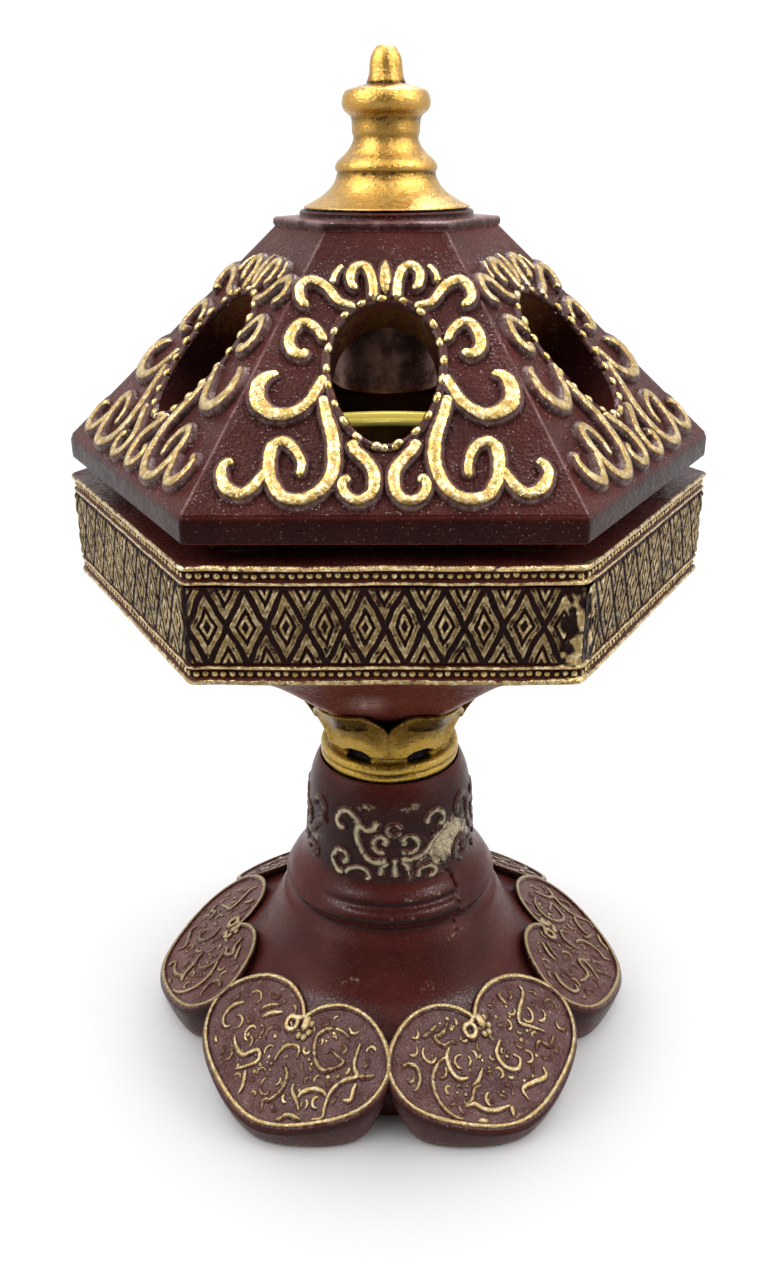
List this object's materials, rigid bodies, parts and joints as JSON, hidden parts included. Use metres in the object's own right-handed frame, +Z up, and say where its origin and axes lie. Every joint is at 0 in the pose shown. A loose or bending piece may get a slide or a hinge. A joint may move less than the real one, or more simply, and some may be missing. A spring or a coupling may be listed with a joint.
{
  "type": "charcoal incense burner",
  "caption": "Hexagonal footed incense burner with heart-shaped petal feet, a diamond frieze, a lift-out charcoal cup and a pierced, scrollwork pyramid lid with a turned finial.",
  "frame": {"origin": "middle of the six felt pads, on the floor", "axes": "+Z up the column to the finial, a flat side of the tray towards -Y, a petal towards +X"},
  "size_m": [0.1272, 0.1108, 0.2063],
  "materials": {
    "resin": "dark red-brown satin lacquer on stone-filled casting resin",
    "gilt": "bright gold paint on cast relief",
    "dry_gilt": "antique gold dry-brushed over brown relief",
    "brass": "bright spun brass",
    "steel": "zinc-plated fasteners",
    "felt": "dark felt"
  },
  "bodies": {
    "base": {"foot": "resin", "felt_pad_1": "felt", "felt_pad_2": "felt", "felt_pad_3": "felt", "felt_pad_4": "felt", "felt_pad_5": "felt", "felt_pad_6": "felt", "petal_rim_1": "dry_gilt", "petal_rim_2": "dry_gilt", "petal_rim_3": "dry_gilt", "petal_rim_4": "dry_gilt", "petal_rim_5": "dry_gilt", "petal_rim_6": "dry_gilt", "collar": "gilt", "tray": "resin", "frieze_panel_1": "dry_gilt", "frieze_panel_2": "dry_gilt", "frieze_panel_3": "dry_gilt", "frieze_panel_4": "dry_gilt", "frieze_panel_5": "dry_gilt", "frieze_panel_6": "dry_gilt", "tie_rod": "steel", "tie_washer": "steel", "tie_nut_lower": "steel", "tie_nut_upper": "steel"},
    "lid": {"lid": "resin", "lid_scroll_1": "gilt", "lid_scroll_2": "gilt", "lid_scroll_3": "gilt", "lid_scroll_4": "gilt", "lid_scroll_5": "gilt", "lid_scroll_6": "gilt", "finial": "gilt", "finial_stud": "steel", "finial_washer": "steel", "finial_nut": "steel"},
    "cup": {"charcoal_cup": "brass"}
  },
  "joints": [
    {"name": "lid_lift", "type": "slide", "parent": "base", "child": "lid", "axis": [0, 0, 1], "range_m": [0, 0.15]},
    {"name": "cup_lift", "type": "slide", "parent": "base", "child": "cup", "axis": [0, 0, 1], "range_m": [0, 0.012]}
  ]
}
